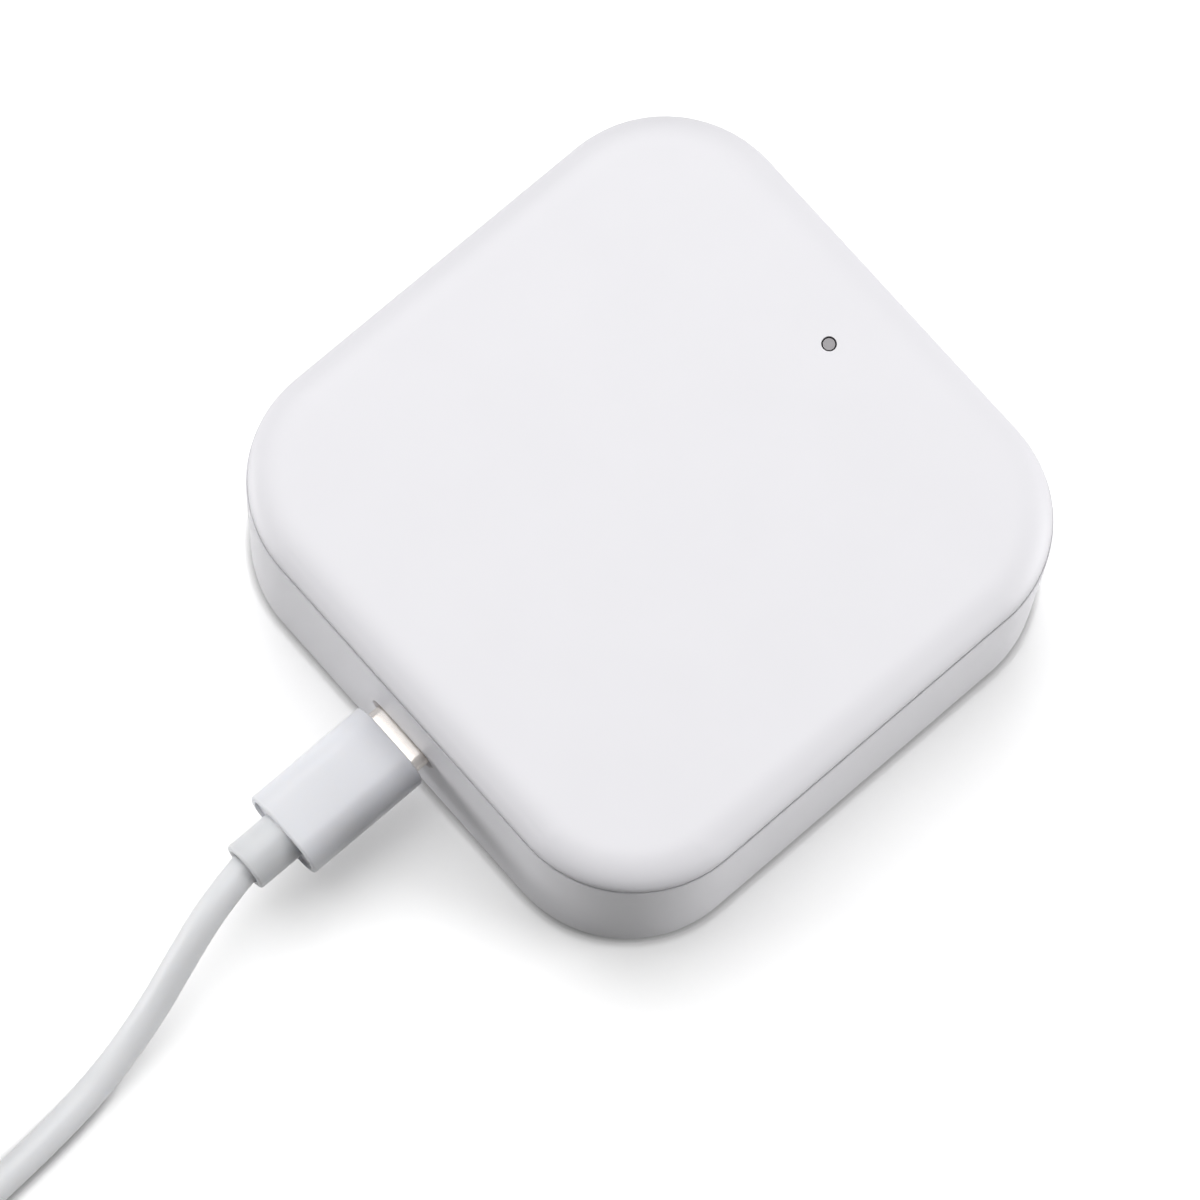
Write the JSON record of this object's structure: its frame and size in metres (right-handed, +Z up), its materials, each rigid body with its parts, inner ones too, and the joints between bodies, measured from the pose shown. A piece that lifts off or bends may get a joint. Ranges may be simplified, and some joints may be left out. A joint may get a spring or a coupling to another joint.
{
  "type": "smart lock gateway",
  "caption": "Small white rounded square radio gateway for door locks, with a status lamp on top and a lead plugged into its side.",
  "frame": {"origin": "on the surface, under the middle of the case", "axes": "+Z up; the lead's port is on the -Y side and the status lamp near the +Y side of the top; +X completes the right-handed frame"},
  "size_m": [0.077, 0.2254, 0.026],
  "materials": {
    "case_plastic": "satin white moulded ABS",
    "foot_rubber": "thin self-adhesive rubber pads",
    "screw_steel": "zinc plated steel",
    "clear_acrylic": "clear acrylic, grey where the lamp is off",
    "board_laminate": "green solder mask on glass laminate",
    "module_laminate": "dark solder mask on glass laminate",
    "chip_resin": "black moulding resin",
    "ceramic": "fired ceramic",
    "lamp_resin": "clear resin over the lamp",
    "plated_shell": "nickel plated steel, folded",
    "contact_gold": "gold flashed copper",
    "black_insulator": "black glass filled nylon",
    "white_insulator": "white glass filled nylon",
    "plug_plastic": "satin white moulded plug body",
    "cord_jacket": "soft white jacket, slightly matt"
  },
  "bodies": {
    "root": {"top_cover": "case_plastic", "base_housing": "case_plastic", "rubber_feet": "foot_rubber", "case_screws": "screw_steel", "board_screws": "screw_steel", "light_pipe": "clear_acrylic", "main_board": "board_laminate", "radio_module_board": "module_laminate", "lock_radio_chip": "chip_resin", "memory_chip": "chip_resin", "voltage_regulator": "chip_resin", "chip_resistors": "chip_resin", "lock_radio_antenna": "ceramic", "ceramic_capacitors": "ceramic", "bulk_capacitors": "ceramic", "indicator_lamp": "lamp_resin", "plug_shell": "plated_shell", "socket_shell": "plated_shell", "power_plug_shell": "plated_shell", "radio_module_shield": "plated_shell", "lock_radio_crystal": "plated_shell", "power_plug_contacts": "contact_gold", "radio_module_antenna": "contact_gold", "socket_tongue": "black_insulator", "plug_insert": "black_insulator", "power_plug_insert": "white_insulator", "plug_sleeve": "plug_plastic", "power_plug_body": "plug_plastic", "plug_collar": "cord_jacket", "cord": "cord_jacket", "cord_coil": "cord_jacket", "cord_tail": "cord_jacket", "power_plug_collar": "cord_jacket"}
  },
  "joints": []
}
